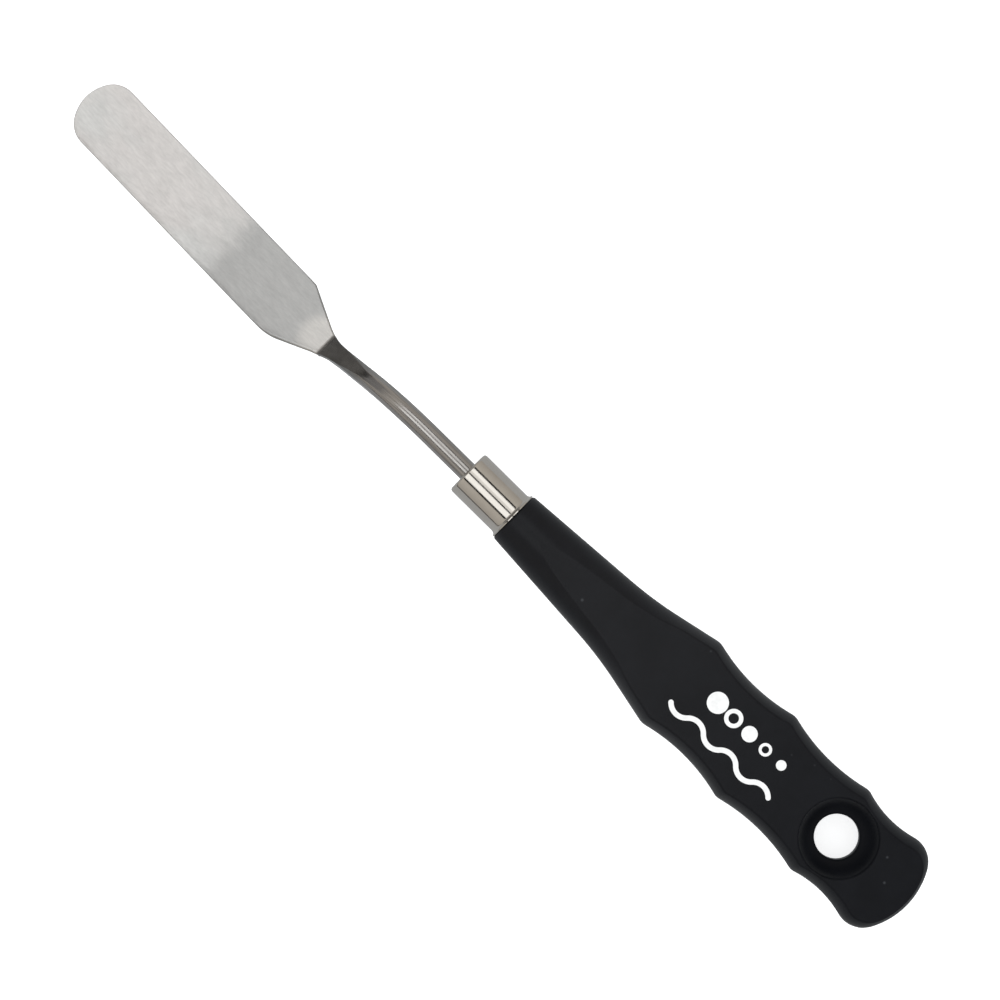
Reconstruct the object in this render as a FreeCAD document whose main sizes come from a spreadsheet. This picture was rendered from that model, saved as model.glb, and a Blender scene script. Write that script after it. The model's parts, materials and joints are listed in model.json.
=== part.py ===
"""Palette knife: a sprung steel blade on a cranked shank, with a ferrule and a soft-touch handle.

The knife is drawn with the handle's axis along X, blade towards +X, and the joint between ferrule
and handle at X = 0. The steel is set a few degrees round in the handle, as it was glued. Then one
placement lays the whole knife down as it rests on a table: on the heel of the blade and on the end
of the handle, with Z = 0 as the table.
"""

import FreeCAD, Part
import os

import Sketcher

V = FreeCAD.Vector
doc = FreeCAD.newDocument("PaletteKnife")

# ---------------------------------------------------------------- driving dimensions, mm and degrees
DIMENSIONS = {
    # blade
    "blade_crank_rise": 9.0,       # slope of the blade where it leaves the crease
    "blade_rise": 12.3,            # slope of the flat front of the blade
    "heel_length": 28.8,           # curved stretch between the two slopes
    "blade_front_length": 43.4,
    "crease_half_thickness": 0.55,
    "heel_half_thickness": 0.45,
    "tip_half_thickness": 0.25,
    "blade_tail": 1.0,             # short stretch of blade behind the crease
    "shoulder_offset": 9.8,        # from the crease to the shoulders
    "shoulder_half_width": 7.6,
    "tip_half_width": 7.5,
    "taper_angle": 25.4,
    "neck_half_width": 1.92,
    "flare_radius": 17.5,
    "nose_radius": 9.4,
    "nose_corner_radius": 5.3,
    "round_shoulder_radius": 11.2,
    "crisp_shoulder_radius": 1.5,
    # weld
    "weld_width": 0.35,
    "weld_height": 0.03,
    # shank
    "shank_radius": 2.165,
    "tang_length": 53.0,
    "crank_start": 23.56,
    "crank_radius": 30.0,
    "crank_angle": 38.0,
    "crank_run": 15.66,
    "forged_length": 19.0,
    "forged_under_length": 12.0,
    "forged_dome": 240.0,          # radius of the slight dome along the forged faces
    "waisting_start": 30.0,
    "waisting_end": 48.0,
    "tang_groove_depth": 0.35,
    "tang_groove_width": 1.2,
    "tang_groove_first": 18.0,
    "tang_groove_pitch": 7.0,
    "tang_flat_half": 1.55,
    "tang_flat_length": 10.0,
    "steel_roll": 7.5,             # how far round the steel sits in the handle
    # ferrule
    "ferrule_length": 13.35,
    "ferrule_radius": 5.2,
    "ferrule_wall": 0.4,
    "ferrule_corner": 0.65,
    "ferrule_lip_radius": 5.85,
    "ferrule_lip_length": 1.1,
    "ferrule_lip_rim": 0.25,
    "ferrule_hole_radius": 2.21,
    # handle, outside
    "grip_front_radius": 5.97,
    "grip_front_edge": 0.6,
    "grip_flare_start": 32.9,
    "grip_flare_radius": 8.23,
    "grip_flare_blend": 60.0,
    "crest_blend": 3.0,
    "first_crest": 49.3,
    "first_crest_radius": 11.76,
    "first_waist_sweep": 40.9,
    "second_crest": 71.1,
    "second_crest_radius": 11.84,
    "second_waist_sweep": 42.0,
    "third_crest": 92.8,
    "third_crest_radius": 11.68,
    "third_waist_sweep": 22.8,
    "butt_centre": 97.65,
    "butt_radius": 17.44,
    "butt_corner_radius": 5.67,
    "butt_half_width": 11.42,
    "butt_corner_angle": 16.5,
    "grip_half_thickness": 6.5,
    # hanging hole
    "hang_hole_offset": 94.64,
    "hang_hole_radius": 4.72,
    "hang_web_half": 1.5,
    "dish_radius": 8.55,
    "dish_sweep": 7.0,
    # handle, inside
    "socket_radius": 2.45,
    "socket_floor": 56.0,
    "core_neck_radius": 5.2,
    "core_neck_length": 46.0,
    "core_plate_half_width": 7.4,
    "core_plate_half_thickness": 3.2,
    "core_plate_start": 40.0,
    "core_plate_end": 82.0,
    "core_window_radius": 3.5,
    "core_window_first": 63.0,
    "core_window_pitch": 9.5,
    "core_tail_half_width": 8.2,
    "core_tail_half_thickness": 0.9,
    "core_tail_start": 78.0,
    "core_tail_end": 104.5,
    "core_ring_radius": 6.0,
    # printed mark
    "ink_thickness": 0.05,
    "dab_first": 57.1,
    "dab_pitch": 4.6,
    "dab_offset": 2.4,
    "dab_radius": 2.3,
    "dab_shrink": 0.3,
    "dab_ring": 0.55,              # a ring's hole as a share of its radius
    "wave_start": 50.1,
    "wave_chord": 4.7,
    "wave_offset": 4.3,
    "wave_radius": 3.2,
    "wave_half_width": 0.55,
}
DAB_COUNT = 5
WAVE_COUNT = 6
TANG_GROOVES = 4

sheet = doc.addObject("Spreadsheet::Sheet", "Dims")
for row, (alias, number) in enumerate(DIMENSIONS.items(), start=1):
    sheet.set(f"A{row}", alias)
    sheet.set(f"B{row}", str(number))
    sheet.setAlias(f"B{row}", alias)
doc.recompute()


class Size:
    """An expression in the sheet's cells: sums and products of Sizes stay bound to the sheet."""

    def __init__(self, text):
        self.text = text

    def __add__(self, other):
        return Size(f"({self.text} + {size(other).text})")

    def __sub__(self, other):
        return Size(f"({self.text} - {size(other).text})")

    def __mul__(self, other):
        return Size(f"({self.text} * {size(other).text})")

    def __truediv__(self, other):
        return Size(f"({self.text} / {size(other).text})")

    def __neg__(self):
        return Size(f"(0 - {self.text})")

    def value(self):
        number = sheet.evalExpression(self.text)
        return float(getattr(number, "Value", number))


def size(thing):
    """A Size from an alias, a plain number or another Size."""
    if isinstance(thing, Size):
        return thing
    if isinstance(thing, str):
        return Size(f"Dims.{thing}")
    return Size(f"{thing:.6g}" if thing >= 0 else f"(0 - {-thing:.6g})")


def sine(angle):
    return Size(f"sin({size(angle).text})")


def cosine(angle):
    return Size(f"cos({size(angle).text})")


def root(square):
    return Size(f"sqrt({square.text})")


def moved(point, angle, along, across=0.0):
    """The point moved along a direction (degrees from the first axis) and to its left."""
    along, across = size(along), size(across)
    first = point[0] + along * cosine(angle) - across * sine(angle)
    second = point[1] + along * sine(angle) + across * cosine(angle)
    return first, second


# ---------------------------------------------------------------- sketch and feature helpers
def new_body(name):
    body = doc.addObject("PartDesign::Body", name)
    body.Label = name
    return body


def new_sketch(body, name, plane, offset=None):
    """A sketch on one of the body's origin planes, shifted by offset = {"x": Size, ...}."""
    sketch = body.newObject("Sketcher::SketchObject", name)
    support = next(f for f in body.Origin.OriginFeatures if f.Role == plane)
    sketch.AttachmentSupport = [(support, "")]
    sketch.MapMode = "FlatFace"
    for axis, distance in (offset or {}).items():
        sketch.setExpression(f"AttachmentOffset.Base.{axis}", distance.text)
    doc.recompute()
    return sketch


def pin(sketch, geometry, end, point):
    """Ties one end of a curve to a point whose coordinates are Sizes."""
    for kind, axis, distance in (("DistanceX", -2, point[0]), ("DistanceY", -1, point[1])):
        if abs(distance.value()) < 1e-9:
            sketch.addConstraint(Sketcher.Constraint("PointOnObject", geometry, end, axis))
            continue
        rule = Sketcher.Constraint(kind, -1, 1, geometry, end, distance.value())
        sketch.setExpression(f"Constraints[{sketch.addConstraint(rule)}]", distance.text)


def arc_through(start, finish, radius, bulge):
    """The minor arc between two points, bulging to the left (+1) or right (-1) of the way."""
    chord = finish - start
    half = chord.Length / 2
    left = V(-chord.y, chord.x, 0).normalize()
    depth = (radius**2 - half**2) ** 0.5
    crown = (start + finish) / 2 + left * bulge * (radius - depth)
    return Part.Arc(start, crown, finish)


def draw_path(sketch, corners, closed=True):
    """A chain of lines and arcs. A corner is (x, y) for a line to the next, or (x, y, radius, bulge)."""
    points = [V(c[0].value(), c[1].value(), 0) for c in corners]
    first = sketch.GeometryCount
    spans = len(corners) if closed else len(corners) - 1
    ends = []
    for i in range(spans):
        start, finish = points[i], points[(i + 1) % len(points)]
        if len(corners[i]) == 2:
            sketch.addGeometry(Part.LineSegment(start, finish), False)
            ends.append((1, 2))
        else:
            radius, bulge = corners[i][2:]
            sketch.addGeometry(arc_through(start, finish, radius.value(), bulge), False)
            ends.append((1, 2) if bulge < 0 else (2, 1))
    for i in range(spans if closed else spans - 1):
        after = (i + 1) % spans
        join = (first + i, ends[i][1], first + after, ends[after][0])
        sketch.addConstraint(Sketcher.Constraint("Coincident", *join))
    for i in range(spans):
        pin(sketch, first + i, ends[i][0], corners[i])
        if len(corners[i]) == 4:
            rule = Sketcher.Constraint("Radius", first + i, corners[i][2].value())
            sketch.setExpression(f"Constraints[{sketch.addConstraint(rule)}]", corners[i][2].text)
    if not closed:
        pin(sketch, first + spans - 1, ends[-1][1], corners[-1])


def draw_circle(sketch, centre, radius):
    shape = Part.Circle(V(centre[0].value(), centre[1].value(), 0), V(0, 0, 1), radius.value())
    circle = sketch.addGeometry(shape, False)
    pin(sketch, circle, 3, centre)
    rule = Sketcher.Constraint("Radius", circle, radius.value())
    sketch.setExpression(f"Constraints[{sketch.addConstraint(rule)}]", radius.text)


def build(body, kind, sketch):
    """A feature of the body that uses the sketch."""
    feature = body.newObject(f"PartDesign::{kind}", f"{sketch.Name}_{kind.lower()}")
    feature.Profile = sketch
    sketch.Visibility = False
    return feature


def volume(body):
    return 0.0 if body.Shape.isNull() else body.Shape.Volume


def settle(body, kind, before):
    """Recomputes, and stops if the feature didn't add or remove material as its kind says."""
    doc.recompute()
    change = volume(body) - before
    if (kind in ("Pocket", "Groove")) == (change > -1e-4):
        raise RuntimeError(f"{body.Tip.Name} changed the volume by {change:.4f}")


def extrude(body, kind, sketch, length, centred=True):
    """A Pad or Pocket of the sketch."""
    before = volume(body)
    feature = build(body, kind, sketch)
    feature.setExpression("Length", size(length).text)
    if centred:
        feature.SideType = "Symmetric"
    settle(body, kind, before)
    return feature


def turn(body, kind, sketch, axis="H_Axis"):
    """A full Revolution or Groove of the sketch about one of its own axes."""
    before = volume(body)
    feature = build(body, kind, sketch)
    feature.ReferenceAxis = (sketch, [axis])
    feature.Angle = 360.0
    settle(body, kind, before)
    return feature


def fillet(body, name, edges, radius):
    """Rounds the named edges of the body's last feature."""
    base = body.Tip
    feature = body.newObject("PartDesign::Fillet", name)
    feature.Base = (base, edges)
    feature.setExpression("Radius", size(radius).text)
    doc.recompute()
    return feature


def edges_where(body, test):
    """Names of the body's edges whose middle point passes the test."""
    names = []
    for number, edge in enumerate(body.Shape.Edges, start=1):
        if test(edge.valueAt((edge.FirstParameter + edge.LastParameter) / 2)):
            names.append(f"Edge{number}")
    return names


def rounded_rectangle(low_x, high_x, half_width, corner):
    """Corners of a rectangle about the X axis, for draw_path, with quarter-round corners."""
    corner = size(corner)
    left, right = low_x + corner, high_x - corner
    top = size(half_width)
    side = top - corner
    return [
        (left, top), (right, top, corner, 1), (high_x, side), (high_x, -side, corner, 1),
        (right, -top), (left, -top, corner, 1), (low_x, -side), (low_x, side, corner, 1),
    ]


ZERO = size(0.0)
WIDE = size(16.0)                  # past the side of any part of the knife
THROUGH = size(80.0)               # past both sides of the whole knife


# ---------------------------------------------------------------- shared points
crank = size("crank_angle")
bend_end = (
    size("crank_start") + size("crank_radius") * sine(crank),
    size("crank_radius") * cosine(crank) - size("crank_radius"),
)
crease = moved(bend_end, -crank, "crank_run")
shank_end = moved(crease, -crank, -(size("blade_tail") + size("weld_width")))

neck_half = size("neck_half_width")
taper = size("taper_angle")
shoulder = (crease[0] + size("shoulder_offset"), size("shoulder_half_width"))
taper_run = (shoulder[1] - neck_half) * cosine(taper) / sine(taper)
flare_tangent = size("flare_radius") * sine(taper / 2) / cosine(taper / 2)
flare_start = (shoulder[0] - taper_run - flare_tangent, neck_half)
flare_end = moved((shoulder[0] - taper_run, neck_half), taper, flare_tangent)


def across_axis(point):
    return point[0], -point[1]


# ---------------------------------------------------------------- blade
def blade():
    """Sprung steel, thick at the heel and thin at the tip, bent up at the crease behind the heel."""
    body = new_body("blade")
    heel_rise, front_rise = size("blade_crank_rise"), size("blade_rise")
    heel_end = moved(crease, (heel_rise + front_rise) / 2, "heel_length")
    heel_sweep = size("heel_length") / (sine((front_rise - heel_rise) / 2) * 2)
    crease_half = size("crease_half_thickness")
    mitre = (crank - heel_rise) / -2
    mitre_half = crease_half / cosine((crank + heel_rise) / 2)

    def face(side):
        """The tail, crease, heel and tip on the upper (1) or lower (-1) face."""
        return [
            moved(crease, -crank, -size("blade_tail"), crease_half * side),
            moved(crease, mitre, 0, mitre_half * side),
            moved(heel_end, front_rise, 0, size("heel_half_thickness") * side),
            moved(heel_end, front_rise, "blade_front_length", size("tip_half_thickness") * side),
        ]

    upper, lower = face(1), face(-1)
    side_view = new_sketch(body, "blade_side", "XZ_Plane")
    draw_path(side_view, [
        upper[0], (*upper[1], heel_sweep, -1), upper[2], upper[3],
        lower[3], (*lower[2], heel_sweep, 1), lower[1], lower[0],
    ])
    extrude(body, "Pad", side_view, WIDE)

    tip_x = upper[3][0]
    nose, corner = size("nose_radius"), size("nose_corner_radius")
    tip_half = size("tip_half_width")
    rise = tip_half - corner
    reach = nose - corner
    nose_centre_x = tip_x - nose
    corner_x = nose_centre_x + root(reach * reach - rise * rise)
    joint = (nose_centre_x + nose * (corner_x - nose_centre_x) / reach, nose * rise / reach)
    side_end = (corner_x, tip_half)
    past_tip = tip_x + 5
    outline = new_sketch(body, "blade_outline", "XY_Plane")
    draw_path(outline, [
        (*flare_start, size("flare_radius"), -1), flare_end, shoulder,
        (*side_end, corner, 1), (*joint, nose, 1), (*across_axis(joint), corner, 1),
        across_axis(side_end), across_axis(shoulder),
        (*across_axis(flare_end), size("flare_radius"), -1), across_axis(flare_start),
        (flare_start[0], -WIDE), (past_tip, -WIDE), (past_tip, WIDE), (flare_start[0], WIDE),
    ])
    extrude(body, "Pocket", outline, THROUGH)

    x, y = shoulder[0].value(), shoulder[1].value()
    for name, sign, radius in (
        ("round_shoulder", 1, "round_shoulder_radius"), ("crisp_shoulder", -1, "crisp_shoulder_radius"),
    ):
        corner_edge = edges_where(body, lambda m: abs(m.x - x) < 0.05 and abs(m.y - sign * y) < 0.05)
        fillet(body, name, corner_edge, radius)
    return body


# ---------------------------------------------------------------- weld between blade and shank
def weld_seam():
    """A narrow butt weld across the neck, dressed almost flush."""
    body = new_body("weld_seam")
    half = size("crease_half_thickness") + size("weld_height")
    side_view = new_sketch(body, "weld_side", "XZ_Plane")
    draw_path(side_view, [
        moved(shank_end, -crank, 0, half), moved(shank_end, -crank, "weld_width", half),
        moved(shank_end, -crank, "weld_width", -half), moved(shank_end, -crank, 0, -half),
    ])
    run = shank_end[0] - flare_start[0]
    sweep = size("flare_radius")
    extrude(body, "Pad", side_view, (neck_half + sweep - root(sweep * sweep - run * run)) * 2)
    return body


# ---------------------------------------------------------------- shank and tang
def groove_starts():
    """X of the front edge of each ring groove round the tang."""
    pitch = size("tang_groove_pitch")
    return [-(size("tang_groove_first") + pitch * i) for i in range(TANG_GROOVES)]


def shank():
    """A steel rod: grooved tang, straight neck, crank, and a front end forged flat for the weld."""
    body = new_body("shank")
    radius = size("shank_radius")
    tang_end = -size("tang_length")
    spine = new_sketch(body, "shank_spine", "XZ_Plane")
    draw_path(spine, [
        (tang_end, ZERO), (size("crank_start"), ZERO, size("crank_radius"), 1), bend_end, shank_end,
    ], closed=False)
    section = new_sketch(body, "shank_section", "YZ_Plane", {"z": tang_end})
    draw_circle(section, (ZERO, ZERO), radius)
    rod = build(body, "AdditivePipe", section)
    rod.Spine = (spine, ["Edge1", "Edge2", "Edge3"])
    spine.Visibility = False
    doc.recompute()

    forging = new_sketch(body, "forged_faces", "XZ_Plane")
    half = size("crease_half_thickness")
    for side, length in ((1, size("forged_length")), (-1, size("forged_under_length"))):
        clear = radius * 3 * side
        draw_path(forging, [
            moved(shank_end, -crank, 1, half * side),
            (*moved(shank_end, -crank, 0, half * side), size("forged_dome"), -side),
            moved(shank_end, -crank, -length, radius * side),
            moved(shank_end, -crank, -length, clear), moved(shank_end, -crank, 1, clear),
        ])
    extrude(body, "Pocket", forging, THROUGH)

    waist = new_sketch(body, "forged_sides", "XY_Plane")
    for side in (1, -1):
        draw_path(waist, [
            (size("waisting_start"), radius * side), (size("waisting_end"), neck_half * side),
            (flare_start[0], neck_half * side, size("flare_radius"), -side),
            (flare_end[0], flare_end[1] * side),
            (flare_end[0], WIDE * side), (size("waisting_start"), WIDE * side),
        ])
    extrude(body, "Pocket", waist, THROUGH)

    rings = new_sketch(body, "tang_rings", "XY_Plane")
    floor = radius - size("tang_groove_depth")
    for start in groove_starts():
        end = start - size("tang_groove_width")
        draw_path(rings, [(start, floor), (start, radius + 1), (end, radius + 1), (end, floor)])
    turn(body, "Groove", rings)

    flats = new_sketch(body, "tang_flats", "XZ_Plane")
    front = tang_end + size("tang_flat_length")
    for side in (1, -1):
        level, clear = size("tang_flat_half") * side, radius * 2 * side
        draw_path(flats, [
            (tang_end - 1, level), (front, level), (front, clear), (tang_end - 1, clear),
        ])
    extrude(body, "Pocket", flats, THROUGH)
    return body


def tang_adhesive():
    """The cured adhesive that fills the socket round the tang, its grooves and its flats."""
    body = new_body("tang_adhesive")
    radius, outer = size("shank_radius"), size("socket_radius")
    tang_end, floor = -size("tang_length"), -size("socket_floor")
    mouth = size("ferrule_length") - 1
    corners = [(mouth, radius), (mouth, outer), (floor, outer), (floor, ZERO), (tang_end, ZERO)]
    corners.append((tang_end, radius))
    groove_floor = radius - size("tang_groove_depth")
    for start in reversed(groove_starts()):
        end = start - size("tang_groove_width")
        corners += [(end, radius), (end, groove_floor), (start, groove_floor), (start, radius)]
    sleeve = new_sketch(body, "adhesive_sleeve", "XY_Plane")
    draw_path(sleeve, corners)
    turn(body, "Revolution", sleeve)

    level = size("tang_flat_half")
    reach = root(outer * outer - level * level)
    fill = new_sketch(body, "flat_fill", "YZ_Plane", {"z": tang_end})
    draw_path(fill, [(-reach, level), (reach, level, outer, 1)])
    draw_path(fill, [(reach, -level), (-reach, -level, outer, 1)])
    extrude(body, "Pad", fill, "tang_flat_length", centred=False)
    return body


# ---------------------------------------------------------------- ferrule
def ferrule():
    """A drawn and plated cup: front turned in to the shank, rear lip flared on to the handle."""
    body = new_body("ferrule")
    length, outer, wall = size("ferrule_length"), size("ferrule_radius"), size("ferrule_wall")
    corner, rim = size("ferrule_corner"), size("ferrule_lip_rim")
    lip, lip_length = size("ferrule_lip_radius"), size("ferrule_lip_length")
    rise, run = lip - outer, lip_length - rim
    lip_sweep = (rise * rise + run * run) / (rise * 2)
    section = new_sketch(body, "ferrule_section", "XY_Plane")
    draw_path(section, [
        (ZERO, outer - wall), (ZERO, lip), (rim, lip, lip_sweep, -1), (lip_length, outer),
        (length - corner, outer, corner, 1), (length, outer - corner),
        (length, size("ferrule_hole_radius")), (length - wall, size("ferrule_hole_radius")),
        (length - wall, outer - wall),
    ])
    turn(body, "Revolution", section)
    return body


# ---------------------------------------------------------------- handle core, and its cavity
def neck_section(body):
    """Half section of the core's spigot and neck."""
    sketch = new_sketch(body, f"{body.Label}_neck", "XY_Plane")
    front = size("ferrule_length") - size("ferrule_wall")
    spigot = size("ferrule_radius") - size("ferrule_wall")
    end = -size("core_neck_length")
    draw_path(sketch, [
        (front, ZERO), (front, spigot), (ZERO, spigot), (end, size("core_neck_radius")), (end, ZERO),
    ])
    return sketch


def plate_outline(body):
    """The core's thick plate, with the windows that lock the grip on."""
    sketch = new_sketch(body, f"{body.Label}_plate", "XY_Plane")
    low, high = -size("core_plate_end"), -size("core_plate_start")
    draw_path(sketch, rounded_rectangle(low, high, "core_plate_half_width", 2.5))
    for i in range(2):
        x = -(size("core_window_first") + size("core_window_pitch") * i)
        draw_circle(sketch, (x, ZERO), size("core_window_radius"))
    return sketch


def tail_outline(body):
    """The core's thin tail, a ring round the hanging hole."""
    sketch = new_sketch(body, f"{body.Label}_tail", "XY_Plane")
    low, high = -size("core_tail_end"), -size("core_tail_start")
    draw_path(sketch, rounded_rectangle(low, high, "core_tail_half_width", 6.0))
    draw_circle(sketch, (-size("hang_hole_offset"), ZERO), size("core_ring_radius"))
    return sketch


def handle_core():
    """The rigid core: spigot for the ferrule, socket for the tang, windowed plate, tail ring."""
    body = new_body("handle_core")
    turn(body, "Revolution", neck_section(body))
    extrude(body, "Pad", plate_outline(body), size("core_plate_half_thickness") * 2)
    extrude(body, "Pad", tail_outline(body), size("core_tail_half_thickness") * 2)
    socket = new_sketch(body, "tang_socket", "XY_Plane")
    mouth, floor = size("ferrule_length"), -size("socket_floor")
    bore = size("socket_radius")
    draw_path(socket, [(mouth, ZERO), (mouth, bore), (floor, bore), (floor, ZERO)])
    turn(body, "Groove", socket)
    return body


# ---------------------------------------------------------------- grip
def grip_cover():
    """The moulded grip: round at the ferrule, scalloped along its sides, flat above and below."""
    body = new_body("grip_cover")
    crests = [
        (-size("first_crest"), size("first_crest_radius")),
        (-size("second_crest"), size("second_crest_radius")),
        (-size("third_crest"), size("third_crest_radius")),
    ]
    butt, corner = size("butt_radius"), size("butt_corner_radius")
    butt_x = -size("butt_centre")
    rise = size("butt_half_width") - corner
    reach = butt - corner
    corner_run = root(reach * reach - rise * rise)
    lead = size("butt_corner_angle")
    corner_start = (butt_x - corner_run + corner * sine(lead), rise + corner * cosine(lead))
    corner_finish = (butt_x - corner_run * butt / reach, rise * butt / reach)
    flare = (-size("grip_flare_start"), size("grip_flare_radius"))
    profile = new_sketch(body, "grip_profile", "XY_Plane")
    draw_path(profile, [
        (ZERO, ZERO), (ZERO, size("grip_front_radius")), flare,
        (*crests[0], size("first_waist_sweep"), 1), (*crests[1], size("second_waist_sweep"), 1),
        (*crests[2], size("third_waist_sweep"), 1), (*corner_start, corner, -1),
        (*corner_finish, butt, -1), (butt_x - butt, ZERO),
    ])
    turn(body, "Revolution", profile)

    def ring(point):
        """Edges of the turned shape at the point's distance along the axis."""
        x, radius = point[0].value(), point[1].value()
        return edges_where(
            body, lambda m: abs(m.x - x) < 0.02 and abs((m.y**2 + m.z**2) ** 0.5 - radius) < 0.02
        )

    fillet(body, "front_edge", ring((ZERO, size("grip_front_radius"))), "grip_front_edge")
    fillet(body, "flare_blend", ring(flare), "grip_flare_blend")
    for number, crest in enumerate(crests, start=1):
        fillet(body, f"crest_{number}", ring(crest), "crest_blend")

    faces = new_sketch(body, "grip_faces", "XZ_Plane")
    past_front, past_butt = size(1), butt_x - butt - 1
    for side in (1, -1):
        level, clear = size("grip_half_thickness") * side, WIDE * side
        draw_path(faces, [
            (past_front, level), (past_butt, level), (past_butt, clear), (past_front, clear),
        ])
    extrude(body, "Pocket", faces, THROUGH)

    turn(body, "Groove", neck_section(body))
    extrude(body, "Pocket", plate_outline(body), size("core_plate_half_thickness") * 2)
    extrude(body, "Pocket", tail_outline(body), size("core_tail_half_thickness") * 2)

    hole = new_sketch(body, "hanging_hole", "XZ_Plane", {"x": -size("hang_hole_offset")})
    rim, bore = size("dish_radius"), size("hang_hole_radius")
    face, web, sweep = size("grip_half_thickness"), size("hang_web_half"), size("dish_sweep")
    draw_path(hole, [
        (ZERO, WIDE), (rim, WIDE), (rim, face, sweep, 1), (bore, web),
        (bore, -web, sweep, 1), (rim, -face), (rim, -WIDE), (ZERO, -WIDE),
    ])
    turn(body, "Groove", hole, "V_Axis")
    return body


# ---------------------------------------------------------------- printed mark
def wave_corners():
    """A ribbon of constant width that snakes along the handle, as corners for draw_path."""
    radius, half = size("wave_radius"), size("wave_half_width")
    chord = size("wave_chord")
    lean = Size(f"asin({(chord / (radius * 2)).text})")
    upper, lower = [], []
    for i in range(WAVE_COUNT + 1):
        swing = 1 if i % 2 else -1
        joint = (-(size("wave_start") + chord * i), size("wave_offset"))
        upper.append(moved(joint, lean * swing, 0, half))
        lower.append(moved(joint, lean * swing, 0, -half))
    corners = []
    for i in range(WAVE_COUNT):
        swing = 1 if i % 2 else -1
        corners.append((*upper[i], radius - half * swing, swing))
    corners.append((*upper[-1], half * 1.001, -1))
    for i in range(WAVE_COUNT, 0, -1):
        swing = 1 if i % 2 else -1
        corners.append((*lower[i], radius - half * swing, swing))
    corners.append((*lower[0], half * 1.001, -1))
    return corners


def printed_mark():
    """White ink on the upper face: a row of shrinking dabs and rings, and a wavy stroke."""
    body = new_body("printed_mark")
    ink = new_sketch(body, "ink_shapes", "XY_Plane", {"z": size("grip_half_thickness")})
    for i in range(DAB_COUNT):
        centre = (-(size("dab_first") + size("dab_pitch") * i), -size("dab_offset"))
        radius = size("dab_radius") - size("dab_shrink") * i
        draw_circle(ink, centre, radius)
        if i % 2:
            draw_circle(ink, centre, radius * size("dab_ring"))
    draw_path(ink, wave_corners())
    extrude(body, "Pad", ink, "ink_thickness", centred=False)
    return body


# ---------------------------------------------------------------- laying the knife down
STEEL = ("blade", "weld_seam", "shank")
GLUED = STEEL + ("tang_adhesive",)


def in_handle(body):
    """The body's place in the handle: the steel and its adhesive are turned a little round X."""
    roll = size("steel_roll").value() if body.Label in GLUED else 0.0
    return FreeCAD.Placement(V(), FreeCAD.Rotation(V(1, 0, 0), roll))


def boxed(bodies, placement):
    """The bodies' tight box under a placement of the whole knife."""
    laid = []
    for body in bodies:
        shape = body.Shape.copy()
        shape.Placement = placement.multiply(in_handle(body))
        laid.append(shape)
    return Part.makeCompound(laid).optimalBoundingBox(False)


def resting_placement(bodies):
    """Tilts the knife until blade and grip both touch the table, and centres it over the origin."""
    steel = [body for body in bodies if body.Label in STEEL]
    handle = [body for body in bodies if body.Label == "grip_cover"]
    low, high = 0.0, 10.0
    while high - low > 1e-5:
        angle = (low + high) / 2
        tilt = FreeCAD.Placement(V(), FreeCAD.Rotation(V(0, -1, 0), angle))
        if boxed(steel, tilt).ZMin < boxed(handle, tilt).ZMin:
            low = angle
        else:
            high = angle
    box = boxed(bodies, tilt)
    return FreeCAD.Placement(V(-(box.XMin + box.XMax) / 2, 0, -box.ZMin), tilt.Rotation)


sub_parts = [
    blade(), weld_seam(), shank(), ferrule(), handle_core(), grip_cover(), tang_adhesive(),
    printed_mark(),
]
rest = resting_placement(sub_parts)
for sub_part in sub_parts:
    sub_part.Placement = rest.multiply(in_handle(sub_part))
doc.recompute()

failed = [o.Name for o in doc.Objects if {"Invalid", "Error"} & set(o.State)]
failed += [p.Label for p in sub_parts if p.Shape.isNull() or not p.Shape.isValid()]
if failed:
    raise RuntimeError(f"these did not build: {failed}")

os.makedirs("parts", exist_ok=True)
for sub_part in sub_parts:
    sub_part.Shape.exportStep(f"parts/{sub_part.Label}.step")
    print(f"{sub_part.Label}: {len(sub_part.Shape.Solids)} solid(s), {sub_part.Shape.Volume:.2f} mm3")
hole_centre = rest.multVec(V(-size("hang_hole_offset").value(), 0, 0))
hole_axis = rest.Rotation.multVec(V(0, 0, 1))
print("hanging hole: centre", tuple(hole_centre), "axis", tuple(hole_axis))
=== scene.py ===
"""Palette knife: the visual model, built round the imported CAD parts.

Lengths are millimetres in the knife's own frame: the handle's axis along X with the blade towards
+X, the joint between ferrule and handle at X = 0, and the printed face of the handle towards +Z.
Two matrices in metres, KNIFE and STEEL, lay that frame and the steel's in the row frame.
"""

import json
import math

import bmesh
import bpy
from mathutils import Matrix, Vector


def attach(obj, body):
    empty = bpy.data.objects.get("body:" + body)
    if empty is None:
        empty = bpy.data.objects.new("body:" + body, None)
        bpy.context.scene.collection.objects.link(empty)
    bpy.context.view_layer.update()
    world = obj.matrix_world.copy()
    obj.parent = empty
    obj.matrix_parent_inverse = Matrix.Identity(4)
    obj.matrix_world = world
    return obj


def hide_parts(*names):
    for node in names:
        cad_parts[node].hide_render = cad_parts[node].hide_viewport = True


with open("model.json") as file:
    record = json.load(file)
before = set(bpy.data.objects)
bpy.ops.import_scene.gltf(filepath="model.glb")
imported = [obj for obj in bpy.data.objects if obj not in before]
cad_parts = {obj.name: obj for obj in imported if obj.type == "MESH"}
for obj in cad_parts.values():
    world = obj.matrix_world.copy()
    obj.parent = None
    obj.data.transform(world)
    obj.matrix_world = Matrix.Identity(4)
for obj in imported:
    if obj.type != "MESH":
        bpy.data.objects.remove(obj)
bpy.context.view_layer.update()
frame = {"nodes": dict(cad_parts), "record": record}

MM = 0.001
HOLE_OFFSET = 94.64                # from the ferrule joint back to the hanging hole
STEEL_ROLL = math.radians(7.5)     # how far round the steel sits in the handle


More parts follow.
